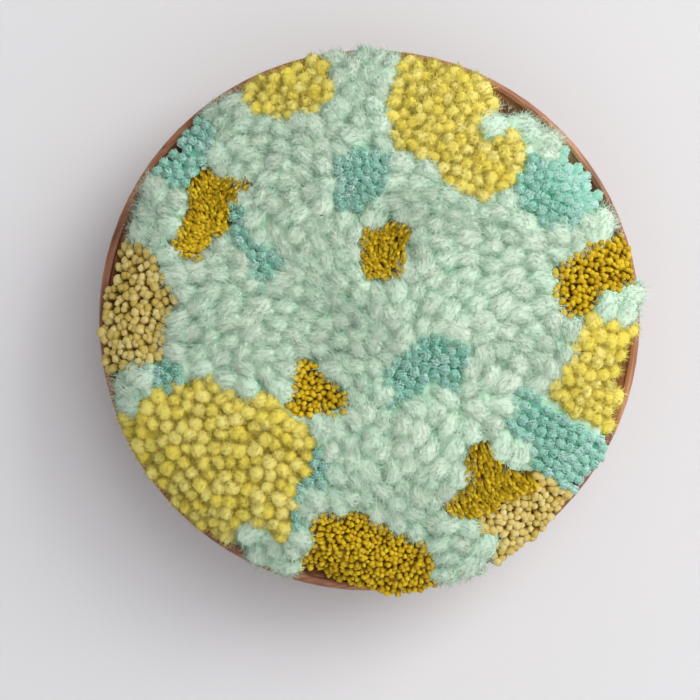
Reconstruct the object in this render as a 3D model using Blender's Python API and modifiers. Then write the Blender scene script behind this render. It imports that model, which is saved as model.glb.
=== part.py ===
"""Framed fiber art: a round, domed pile textile seated in a shallow turned wooden frame.

The textile is hooked and tufted from thick wool roving, chunky loops, fine loops and cut floss. It
stands proud of the frame, covers most of the lip and leaves uneven crescents of wood to show. The
frame hangs flat on a wall.

Units are metres. The face looks along -Y, +Z is up and +X is to the right as seen from the front.
The origin is the centre of the frame's flat foot, which lies on the wall plane y = 0. Both pieces are
modelled lying on their back, with height above the wall along their own Z, and are turned upright by
their parent.
"""
import heapq
import math
import random
from typing import NamedTuple

import bmesh
import bpy
from mathutils import Vector, noise
from mathutils.geometry import delaunay_2d_cdt

# Turned frame
RIM_RADIUS = 0.076
FRAME_DEPTH = 0.032
LIP_ROUND = 0.00125
FOOT_RADIUS = 0.0425
FOOT_HEIGHT = 0.0045
FOOT_BEVEL = 0.0008
FLOOR_HEIGHT = 0.0065
INNER_FULLNESS = 3.2
OUTER_FULLNESS = 1.6
FRAME_STEPS = 80
WALL_POINTS = 8
WALL_CROWDING = 0.6
LIP_STEPS = 4
MERGE_DISTANCE = 0.00001
WOOD_COLOUR = (0.25, 0.08, 0.035)
WOOD_ROUGHNESS = 0.42

MOUTH_RADIUS = RIM_RADIUS - 2 * LIP_ROUND
LIP_CENTRE_RADIUS = RIM_RADIUS - LIP_ROUND
LIP_CENTRE_HEIGHT = FRAME_DEPTH - LIP_ROUND

# Pile body
SEAT_CLEARANCE = 0.0005
LIP_CLEARANCE = 0.0006
SEAT_STATION = 6
CROWN_RISE = 0.0165
EDGE_RISE = 0.0030
DOME_FULLNESS = 2.5
DOME_FALL = 0.62
SWELL_HEIGHT = 0.0022
SWELL_SPAN = 0.030
EDGE_THICKNESS = 0.0021
RIM_POINTS = 132
RIM_UNEVENNESS = 0.3
FACE_SPACING = 0.0028
FACE_MARGIN = 0.0019
FACE_UNEVENNESS = 0.22
POINT_TOLERANCE = 1e-7
CREASE_WIDTH = 0.95
CREASE_CURVE = 1.5
RELIEF_FADE = 9

# Locks at the pile's rim
LOCK_REACH = 0.0028
LOCK_PARTING = 0.00035
LOCK_TAPER = (0.40, 0.75)
LOCK_SHORTFALL = 0.0014
LOCK_LIFT = 0.0012
LOCK_DROOP = 0.8
LOCK_SHARE = 0.9
TIP_HEIGHT = FRAME_DEPTH + LIP_CLEARANCE + EDGE_THICKNESS / 2

# Layout
LAYOUT_SEED = 41
PLACING_TRIES = 9000
PACKING = 0.82
PATCH_WOBBLE = 0.0085
PATCH_WOBBLE_SPAN = 0.012
PATCH_WOBBLE_SLICES = (1.3, 5.6)
PATCH_EDGE = 0.066


class Yarn(NamedTuple):
    """One yarn of the pile: its lumps' pitch, relief and depth below the roving's tops, and its finish."""

    pitch: float
    relief: float
    sink: float
    colour: tuple[float, float, float]
    roughness: float


class Patch(NamedTuple):
    """A rounded patch of one yarn on the face: its centre, half sizes and turn in degrees."""

    yarn: str
    x: float
    y: float
    half_length: float
    half_width: float
    turn: float


class RimSection(NamedTuple):
    """A place on the rim: its angle in degrees and the width of wood that shows there."""

    angle: float
    wood_shown: float


class Lump(NamedTuple):
    """One rounded lump of the pile: its place on the face and its yarn."""

    x: float
    y: float
    yarn: str


YARNS = {
    "roving": Yarn(0.0090, 0.0034, 0.0000, (0.56, 0.68, 0.52), 0.95),
    "chunky": Yarn(0.0068, 0.0023, 0.0006, (0.67, 0.58, 0.12), 0.90),
    "fine": Yarn(0.0062, 0.0016, 0.0022, (0.55, 0.33, 0.01), 0.75),
    "straw": Yarn(0.0062, 0.0016, 0.0018, (0.60, 0.44, 0.13), 0.80),
    "floss": Yarn(0.0066, 0.0018, 0.0012, (0.22, 0.56, 0.42), 0.55),
}

PATCHES = (
    Patch("fine", -0.010, -0.066, 0.025, 0.0100, 3),
    Patch("fine", 0.030, -0.049, 0.013, 0.0080, 18),
    Patch("chunky", -0.041, -0.035, 0.026, 0.0185, -38),
    Patch("floss", -0.017, -0.045, 0.009, 0.0055, 52),
    Patch("fine", -0.015, -0.020, 0.008, 0.0060, -20),
    Patch("chunky", 0.023, 0.053, 0.020, 0.0130, -14),
    Patch("floss", 0.047, 0.037, 0.008, 0.0110, 24),
    Patch("floss", -0.004, 0.037, 0.011, 0.0060, 64),
    Patch("fine", 0.004, 0.019, 0.009, 0.0060, 12),
    Patch("chunky", 0.063, -0.019, 0.010, 0.0150, 10),
    Patch("floss", 0.046, -0.032, 0.014, 0.0070, -48),
    Patch("fine", 0.060, 0.012, 0.009, 0.0062, 74),
    Patch("floss", 0.017, -0.016, 0.013, 0.0068, 30),
    Patch("fine", -0.043, 0.030, 0.013, 0.0085, 48),
    Patch("floss", -0.031, 0.018, 0.010, 0.0055, -34),
    Patch("floss", -0.050, 0.045, 0.009, 0.0062, 20),
    Patch("straw", -0.065, 0.006, 0.009, 0.0170, -4),
    Patch("straw", 0.043, -0.052, 0.016, 0.0090, 42),
    Patch("floss", -0.060, -0.008, 0.006, 0.0085, 16),
    Patch("chunky", -0.026, 0.062, 0.011, 0.0075, 20),
)

RIM_SECTIONS = (
    RimSection(2, 0.0002),
    RimSection(14, 0.0003),
    RimSection(24, 0.0014),
    RimSection(33, 0.0024),
    RimSection(39, 0.0028),
    RimSection(45, 0.0013),
    RimSection(54, 0.0050),
    RimSection(62, 0.0034),
    RimSection(68, 0.0004),
    RimSection(77, 0.0014),
    RimSection(92, 0.0004),
    RimSection(112, 0.0003),
    RimSection(126, 0.0012),
    RimSection(140, 0.0030),
    RimSection(148, 0.0008),
    RimSection(160, 0.0050),
    RimSection(171, 0.0024),
    RimSection(182, 0.0008),
    RimSection(204, 0.0006),
    RimSection(224, 0.0011),
    RimSection(232, 0.0004),
    RimSection(240, 0.0024),
    RimSection(248, 0.0002),
    RimSection(258, 0.0050),
    RimSection(267, 0.0014),
    RimSection(274, -0.0018),
    RimSection(288, -0.0012),
    RimSection(303, -0.0008),
    RimSection(318, 0.0006),
    RimSection(332, -0.0002),
    RimSection(340, 0.0014),
    RimSection(348, 0.0048),
    RimSection(355, 0.0012),
)


def clear_scene() -> None:
    """Remove every object of the open scene."""
    for old in list(bpy.data.objects):
        bpy.data.objects.remove(old, do_unlink=True)


def new_collection(name: str) -> bpy.types.Collection:
    """Add an empty collection to the scene."""
    collection = bpy.data.collections.new(name)
    bpy.context.scene.collection.children.link(collection)
    return collection


def new_material(name: str, colour: tuple[float, float, float], roughness: float) -> bpy.types.Material:
    """Make a plain Principled BSDF material."""
    material = bpy.data.materials.new(name)
    material.use_nodes = True
    shader = material.node_tree.nodes["Principled BSDF"]
    shader.inputs["Base Color"].default_value = (*colour, 1)
    shader.inputs["Roughness"].default_value = roughness
    shader.inputs["Metallic"].default_value = 0
    return material


def inner_wall_height(radius: float) -> float:
    """Height of the frame's concave inner wall at a radius."""
    return FLOOR_HEIGHT + (LIP_CENTRE_HEIGHT - FLOOR_HEIGHT) * (radius / MOUTH_RADIUS) ** INNER_FULLNESS


def wall_station(index: int) -> float:
    """Radius of one of the inner wall's stations, which crowd towards the lip."""
    return MOUTH_RADIUS * (index / WALL_POINTS) ** WALL_CROWDING


def inner_wall_radius(height: float) -> float:
    """Radius of the frame's concave inner wall at a height."""
    share = (height - FLOOR_HEIGHT) / (LIP_CENTRE_HEIGHT - FLOOR_HEIGHT)
    return MOUTH_RADIUS * share ** (1 / INNER_FULLNESS)


def outer_wall_height(radius: float) -> float:
    """Height of the frame's outer wall at a radius beyond the foot."""
    share = (radius - FOOT_RADIUS) / (RIM_RADIUS - FOOT_RADIUS)
    return FOOT_HEIGHT + (LIP_CENTRE_HEIGHT - FOOT_HEIGHT) * share ** OUTER_FULLNESS


def frame_profile() -> list[tuple[float, float]]:
    """Radius and height from the inner floor's centre over the lip and down to the foot's centre."""
    profile = [(0.0, FLOOR_HEIGHT)]
    for i in range(1, WALL_POINTS):
        radius = wall_station(i)
        profile.append((radius, inner_wall_height(radius)))
    for i in range(LIP_STEPS + 1):
        turn = math.pi * (1 - i / LIP_STEPS)
        radius = LIP_CENTRE_RADIUS + LIP_ROUND * math.cos(turn)
        profile.append((radius, LIP_CENTRE_HEIGHT + LIP_ROUND * math.sin(turn)))
    for i in range(WALL_POINTS - 1, -1, -1):
        radius = FOOT_RADIUS + (RIM_RADIUS - FOOT_RADIUS) * i / WALL_POINTS
        profile.append((radius, outer_wall_height(radius)))
    profile.append((FOOT_RADIUS, FOOT_BEVEL))
    profile.append((FOOT_RADIUS - FOOT_BEVEL, 0.0))
    profile.append((0.0, 0.0))
    return profile


def build_frame(parts: bpy.types.Collection, upright: bpy.types.Object) -> None:
    """Turn the shallow wooden frame from its profile."""
    profile = frame_profile()
    mesh = bpy.data.meshes.new("wood_frame")
    mesh.from_pydata(
        [(radius, 0, height) for radius, height in profile],
        [(i, i + 1) for i in range(len(profile) - 1)],
        [],
    )
    frame = bpy.data.objects.new("wood_frame", mesh)
    parts.objects.link(frame)
    frame.parent = upright
    screw = frame.modifiers.new("Turned", "SCREW")
    screw.axis = "Z"
    screw.steps = FRAME_STEPS
    screw.render_steps = FRAME_STEPS
    screw.use_merge_vertices = True
    screw.merge_threshold = MERGE_DISTANCE
    screw.use_smooth_shade = True
    mesh.materials.append(new_material("Oiled reddish-brown hardwood", WOOD_COLOUR, WOOD_ROUGHNESS))


def wood_shown(angle: float) -> float:
    """Width of wood that shows between the rim and the locks at an angle in radians."""
    degrees = math.degrees(angle) % 360
    sections = [*RIM_SECTIONS, RIM_SECTIONS[0]._replace(angle=RIM_SECTIONS[0].angle + 360)]
    if degrees < sections[0].angle:
        degrees += 360
    for start, end in zip(sections, sections[1:]):
        if degrees <= end.angle:
            share = (degrees - start.angle) / (end.angle - start.angle)
            ease = (1 - math.cos(math.pi * share)) / 2
            return start.wood_shown + (end.wood_shown - start.wood_shown) * ease
    return sections[-1].wood_shown


def reach_radius(angle: float) -> float:
    """Radius that the tips of the rim's locks reach."""
    return RIM_RADIUS - wood_shown(angle)


def body_radius(angle: float) -> float:
    """Radius of the pile's body, from which the locks reach on."""
    return reach_radius(angle) - LOCK_REACH


def yarn_at(x: float, y: float) -> str:
    """Name of the yarn at a place on the face: the first patch that holds it, or else the roving."""
    inward = PATCH_EDGE / max(math.hypot(x, y), PATCH_EDGE)
    place = Vector((x, y)) * inward
    spot = place / PATCH_WOBBLE_SPAN
    wobble = Vector([PATCH_WOBBLE * noise.noise((*spot, level)) for level in PATCH_WOBBLE_SLICES])
    for patch in PATCHES:
        turn = math.radians(patch.turn)
        dx, dy = place + wobble - Vector((patch.x, patch.y))
        along = (dx * math.cos(turn) + dy * math.sin(turn)) / patch.half_length
        across = (dy * math.cos(turn) - dx * math.sin(turn)) / patch.half_width
        if along * along + across * across < 1:
            return patch.yarn
    return "roving"


def place_lumps() -> list[Lump]:
    """Scatter the lumps over the face, each yarn's at their own pitch."""
    dice = random.Random(LAYOUT_SEED)
    lumps: list[Lump] = []
    for _ in range(PLACING_TRIES):
        radius = RIM_RADIUS * math.sqrt(dice.random())
        angle = math.tau * dice.random()
        if radius > reach_radius(angle):
            continue
        x = radius * math.cos(angle)
        y = radius * math.sin(angle)
        yarn = yarn_at(x, y)
        room = PACKING / 2
        pitch = YARNS[yarn].pitch
        reaches = ((lump, room * (pitch + YARNS[lump.yarn].pitch)) for lump in lumps)
        if all(math.hypot(x - lump.x, y - lump.y) > reach for lump, reach in reaches):
            lumps.append(Lump(x, y, yarn))
    return lumps


def dome_height(x: float, y: float) -> float:
    """Height of the pile's swelling dome, at the tops of the roving."""
    share = min(1.0, math.hypot(x, y) / RIM_RADIUS)
    rise = EDGE_RISE + (CROWN_RISE - EDGE_RISE) * (1 - share ** DOME_FULLNESS) ** DOME_FALL
    swell = SWELL_HEIGHT * noise.noise(Vector((x, y, 0)) / SWELL_SPAN) * (1 - share * share)
    return FRAME_DEPTH + rise + swell


def face_height(x: float, y: float, lumps: list[Lump]) -> float:
    """Height of the lumpy face: full at the middle of a lump, with creases half way to the next ones."""
    distances = ((math.hypot(x - lump.x, y - lump.y), i) for i, lump in enumerate(lumps))
    near, after = heapq.nsmallest(2, distances)
    yarn = YARNS[lumps[near[1]].yarn]
    crease = (1 - min(1.0, (after[0] - near[0]) / (CREASE_WIDTH * yarn.pitch))) ** CREASE_CURVE
    share = min(1.0, math.hypot(x, y) / RIM_RADIUS)
    depth = (yarn.sink + yarn.relief * crease) * (1 - share ** RELIEF_FADE)
    return dome_height(x, y) - depth


def face_points() -> list[Vector]:
    """Staggered points of the face, a little uneven, inside the pile's edge."""
    dice = random.Random(LAYOUT_SEED)
    rows = math.ceil(RIM_RADIUS / FACE_SPACING) + 2
    points = []
    for row in range(-rows, rows + 1):
        for column in range(-rows, rows + 1):
            shift = Vector((dice.uniform(-1, 1), dice.uniform(-1, 1))) * FACE_UNEVENNESS
            point = (Vector((column + row % 2 / 2, row * math.sqrt(3) / 2)) + shift) * FACE_SPACING
            if point.length < body_radius(math.atan2(point.y, point.x)) - FACE_MARGIN:
                points.append(point)
    return points


def face_sheet() -> bmesh.types.BMesh:
    """Make the lumpy face, from its uneven edge to its crown."""
    dice = random.Random(LAYOUT_SEED)
    lumps = place_lumps()
    rim = []
    for i in range(RIM_POINTS):
        angle = math.tau * (i + dice.uniform(-RIM_UNEVENNESS, RIM_UNEVENNESS)) / RIM_POINTS
        rim.append(Vector((math.cos(angle), math.sin(angle))) * body_radius(angle))
    loop = [(i, (i + 1) % RIM_POINTS) for i in range(RIM_POINTS)]
    corners, _, triangles, _, _, _ = delaunay_2d_cdt(rim + face_points(), loop, [], 1, POINT_TOLERANCE)

    sheet = bmesh.new()
    for i, corner in enumerate(corners):
        height = FRAME_DEPTH + LIP_CLEARANCE + EDGE_THICKNESS
        if i >= RIM_POINTS:
            height = face_height(corner.x, corner.y, lumps)
        sheet.verts.new((corner.x, corner.y, height))
    sheet.verts.ensure_lookup_table()
    for triangle in triangles:
        sheet.faces.new([sheet.verts[i] for i in triangle])
    return sheet


def side_rings(angle: float) -> list[tuple[float, float]]:
    """Radius and height of the pile's side: under its edge, inside the mouth, and at the seat."""
    edge = body_radius(angle)
    under_edge = (edge - EDGE_THICKNESS / 2, FRAME_DEPTH + LIP_CLEARANCE)
    if under_edge[0] < MOUTH_RADIUS - LIP_ROUND:
        under_edge = (under_edge[0], FRAME_DEPTH - LIP_ROUND / 2)
    throat_height = LIP_CENTRE_HEIGHT - LIP_ROUND
    throat = (min(edge - EDGE_THICKNESS, inner_wall_radius(throat_height) - LIP_CLEARANCE), throat_height)
    seat_radius = wall_station(SEAT_STATION)
    seat = (seat_radius - SEAT_CLEARANCE, inner_wall_height(seat_radius))
    return [under_edge, throat, seat]


def face_angle(face: bmesh.types.BMFace) -> float:
    """Angle of a face's middle round the pile."""
    centre = face.calc_center_median()
    return math.atan2(centre.y, centre.x)


def grow_locks(body: bmesh.types.BMesh, band: list[bmesh.types.BMFace]) -> None:
    """Draw uneven tapered locks out of the faces of the pile's edge, parted but for their roots."""
    dice = random.Random(LAYOUT_SEED)
    band = [face for face in sorted(band, key=face_angle) if dice.random() < LOCK_SHARE]
    bmesh.ops.inset_individual(body, faces=band, thickness=LOCK_PARTING)
    ends = bmesh.ops.extrude_discrete_faces(body, faces=band)["faces"]
    for end in sorted(ends, key=face_angle):
        root = end.calc_center_median()
        angle = face_angle(end)
        tip_radius = reach_radius(angle) - dice.uniform(0, LOCK_SHORTFALL)
        tip = Vector((math.cos(angle), math.sin(angle), 0)) * tip_radius
        tip.z = TIP_HEIGHT + dice.uniform(0, LOCK_LIFT) - LOCK_DROOP * max(0.0, tip_radius - RIM_RADIUS)
        taper = dice.uniform(*LOCK_TAPER)
        for vert in end.verts:
            vert.co = tip + (vert.co - root) * taper


def close_body(sheet: bmesh.types.BMesh) -> None:
    """Extrude the sheet's edge down into the frame, close it with a flat seat and draw out the locks."""
    edges = [edge for edge in sheet.edges if edge.is_boundary]
    band = []
    for ring in range(len(side_rings(0))):
        grown = bmesh.ops.extrude_edge_only(sheet, edges=edges)["geom"]
        for vert in (item for item in grown if isinstance(item, bmesh.types.BMVert)):
            angle = math.atan2(vert.co.y, vert.co.x)
            radius, height = side_rings(angle)[ring]
            vert.co = (radius * math.cos(angle), radius * math.sin(angle), height)
        edges = [item for item in grown if isinstance(item, bmesh.types.BMEdge)]
        band = band or [item for item in grown if isinstance(item, bmesh.types.BMFace)]
    bmesh.ops.holes_fill(sheet, edges=edges, sides=0)
    bmesh.ops.recalc_face_normals(sheet, faces=sheet.faces[:])
    grow_locks(sheet, band)


def mesh_object(name: str, shape: bmesh.types.BMesh, home: bpy.types.Collection) -> bpy.types.Object:
    """Put a finished bmesh into a named object of a collection."""
    mesh = bpy.data.meshes.new(name)
    shape.to_mesh(mesh)
    shape.free()
    piece = bpy.data.objects.new(name, mesh)
    home.objects.link(piece)
    return piece


def build_pile(parts: bpy.types.Collection, upright: bpy.types.Object) -> None:
    """Build the domed pile as one solid: the lumpy body with the locks at its rim."""
    body = face_sheet()
    close_body(body)
    names = list(YARNS)
    for face in body.faces:
        centre = face.calc_center_median()
        face.material_index = names.index(yarn_at(centre.x, centre.y))
        face.smooth = True
    pile = mesh_object("pile", body, parts)
    pile.parent = upright
    for name, yarn in YARNS.items():
        pile.data.materials.append(new_material(f"Pile yarn {name}", yarn.colour, yarn.roughness))


def main() -> None:
    """Build the frame and its pile."""
    clear_scene()
    parts = new_collection("Framed fiber art")
    upright = bpy.data.objects.new("upright", None)
    upright.rotation_euler.x = math.pi / 2
    parts.objects.link(upright)
    build_frame(parts, upright)
    build_pile(parts, upright)


main()
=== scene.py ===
"""Looks of a round framed fiber art: a turned wooden frame with a domed pile of roving, loops and floss."""
import logging
import math
from dataclasses import dataclass, field
from enum import Enum

import bpy
import numpy as np
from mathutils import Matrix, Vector, noise
from mathutils.bvhtree import BVHTree


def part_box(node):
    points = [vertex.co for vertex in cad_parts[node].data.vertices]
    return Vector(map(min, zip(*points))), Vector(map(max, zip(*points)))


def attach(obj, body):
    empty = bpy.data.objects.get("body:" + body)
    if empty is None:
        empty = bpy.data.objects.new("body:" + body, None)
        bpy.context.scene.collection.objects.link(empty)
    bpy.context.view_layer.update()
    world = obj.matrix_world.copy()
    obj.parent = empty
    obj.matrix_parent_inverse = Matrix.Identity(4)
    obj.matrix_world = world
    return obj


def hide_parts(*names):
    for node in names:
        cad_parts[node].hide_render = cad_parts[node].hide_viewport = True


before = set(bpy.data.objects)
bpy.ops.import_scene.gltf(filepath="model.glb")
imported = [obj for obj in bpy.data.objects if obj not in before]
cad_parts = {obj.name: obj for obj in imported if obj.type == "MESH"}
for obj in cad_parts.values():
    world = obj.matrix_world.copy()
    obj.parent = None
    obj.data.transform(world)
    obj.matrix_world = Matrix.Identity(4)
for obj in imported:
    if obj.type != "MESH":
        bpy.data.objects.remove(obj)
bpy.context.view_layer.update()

log = logging.getLogger("fiber_art")

Colour = tuple[float, float, float]


class Yarn(Enum):
    """The yarns of the pile."""

    ROVING = "roving"
    CHUNKY = "chunky"
    FINE = "fine"
    STRAW = "straw"
    FLOSS = "floss"
    ENDS = "ends"


@dataclass(frozen=True)
class Patch:
    """A rounded patch of one yarn on the face: its centre, half sizes and turn in degrees."""

    yarn: Yarn
    x: float
    y: float
    half_length: float
    half_width: float
    turn: float


PATCHES = (
    Patch(Yarn.FINE, -0.010, -0.066, 0.025, 0.0100, 3),
    Patch(Yarn.ENDS, 0.030, -0.049, 0.013, 0.0080, 18),
    Patch(Yarn.CHUNKY, -0.041, -0.035, 0.026, 0.0185, -38),
    Patch(Yarn.FLOSS, -0.017, -0.045, 0.009, 0.0055, 52),
    Patch(Yarn.FINE, -0.015, -0.020, 0.008, 0.0060, -20),
    Patch(Yarn.CHUNKY, 0.023, 0.053, 0.020, 0.0130, -14),
    Patch(Yarn.FLOSS, 0.047, 0.037, 0.008, 0.0110, 24),
    Patch(Yarn.FLOSS, -0.004, 0.037, 0.011, 0.0060, 64),
    Patch(Yarn.ENDS, 0.004, 0.019, 0.009, 0.0060, 12),
    Patch(Yarn.CHUNKY, 0.063, -0.019, 0.010, 0.0150, 10),
    Patch(Yarn.FLOSS, 0.046, -0.032, 0.014, 0.0070, -48),
    Patch(Yarn.FINE, 0.060, 0.012, 0.009, 0.0062, 74),
    Patch(Yarn.FLOSS, 0.017, -0.016, 0.013, 0.0068, 30),
    Patch(Yarn.ENDS, -0.043, 0.030, 0.013, 0.0085, 48),
    Patch(Yarn.FLOSS, -0.031, 0.018, 0.010, 0.0055, -34),
    Patch(Yarn.FLOSS, -0.050, 0.045, 0.009, 0.0062, 20),
    Patch(Yarn.STRAW, -0.065, 0.006, 0.009, 0.0170, -4),
    Patch(Yarn.STRAW, 0.043, -0.052, 0.016, 0.0090, 42),
    Patch(Yarn.FLOSS, -0.060, -0.008, 0.006, 0.0085, 16),
    Patch(Yarn.CHUNKY, -0.026, 0.062, 0.011, 0.0075, 20),
)


def unit(vectors: np.ndarray) -> np.ndarray:
    """Scale vectors along the last axis to length one."""
    return vectors / np.maximum(np.linalg.norm(vectors, axis=-1, keepdims=True), 1e-12)


@dataclass
class FaceLayout:
    """Where each yarn lies on the face, in plain patches with wobbly edges."""

    wobble: float = 0.0085
    wobble_span: float = 0.012
    wobble_slices: tuple[float, float] = (1.3, 5.6)
    edge: float = 0.066

    def yarn_at(self, x: float, y: float) -> Yarn:
        """Name the yarn at a place on the face.

        Args:
            x: Distance to the right of the face's centre.
            y: Distance above the face's centre.

        Returns:
            The yarn of the first patch that holds the place, or else the roving.
        """
        inward = self.edge / max(math.hypot(x, y), self.edge)
        place = Vector((x, y)) * inward
        spot = place / self.wobble_span
        shift = Vector([self.wobble * noise.noise((*spot, level)) for level in self.wobble_slices])
        for patch in PATCHES:
            turn = math.radians(patch.turn)
            dx, dy = place + shift - Vector((patch.x, patch.y))
            along = (dx * math.cos(turn) + dy * math.sin(turn)) / patch.half_length
            across = (dy * math.cos(turn) - dx * math.sin(turn)) / patch.half_width
            if along * along + across * across < 1:
                return patch.yarn
        return Yarn.ROVING


@dataclass
class Places:
    """Where tufts stand: their points, outward normals, lie directions and sizes, a row for each tuft."""

    origins: np.ndarray
    normals: np.ndarray
    lies: np.ndarray
    sizes: np.ndarray

    def __len__(self) -> int:
        """Number of tufts."""
        return len(self.origins)

    def axes(self) -> np.ndarray:
        """Lie, side and normal of each tuft, as the rows of a matrix."""
        return np.stack((self.lies, np.cross(self.normals, self.lies), self.normals), 1)


class PileSurface:
    """The pile's solid as the frame gives it: its heights, smooth slopes and the reach of its rim."""

    BINS = 90
    SAMPLE_RADIUS = 0.0055
    SAMPLE_DIRECTIONS = 8
    SAMPLE_SHARES = (0.5, 1.0)
    RIM_INSET = 0.001
    RAY_START = 0.2

    def __init__(self, node: bpy.types.Object) -> None:
        """Read the node's mesh.

        Args:
            node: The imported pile.
        """
        points = [vertex.co.copy() for vertex in node.data.vertices]
        self.tree = BVHTree.FromPolygons(points, [tuple(face.vertices) for face in node.data.polygons])
        flat = np.array([(p.x, p.z) for p in points])
        radii = np.hypot(flat[:, 0], flat[:, 1])
        bins = (np.arctan2(flat[:, 1], flat[:, 0]) % math.tau / math.tau * self.BINS).astype(int) % self.BINS
        self.reaches = np.array([radii[bins == i].max() for i in range(self.BINS)])
        self.radius = float(radii.max())

    def reach(self, angle: float) -> float:
        """Radius that the pile's rim reaches at an angle."""
        place = angle % math.tau / math.tau * self.BINS - 0.5
        low = math.floor(place)
        share = place - low
        before, after = self.reaches[low % self.BINS], self.reaches[(low + 1) % self.BINS]
        return float(before * (1 - share) + after * share)

    def height(self, x: float, y: float) -> float | None:
        """Height of the solid above the wall at a place, or None beyond it."""
        hit = self.tree.ray_cast(Vector((x, -self.RAY_START, y)), Vector((0, 1, 0)))[0]
        return None if hit is None else -hit.y

    def rest(self, x: float, y: float) -> tuple[Vector, Vector]:
        """Find the smooth surface under a tuft.

        Args:
            x: Distance to the right of the face's centre.
            y: Distance above the face's centre.

        Returns:
            The point on the smoothed surface and its outward normal, in the frame's own axes.
        """
        rows = []
        for i in range(self.SAMPLE_DIRECTIONS):
            angle = math.tau * i / self.SAMPLE_DIRECTIONS
            for share in self.SAMPLE_SHARES:
                dx = self.SAMPLE_RADIUS * share * math.cos(angle)
                dy = self.SAMPLE_RADIUS * share * math.sin(angle)
                height = self.height(x + dx, y + dy)
                if height is not None and math.hypot(x + dx, y + dy) < self.radius - self.RIM_INSET:
                    rows.append((1, dx, dy, height))
        table = np.array(rows)
        fit = np.linalg.lstsq(table[:, :3], table[:, 3], rcond=None)[0]
        normal = Vector((-fit[1], -1, -fit[2])).normalized()
        return Vector((x, -fit[0], y)), normal


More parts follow.
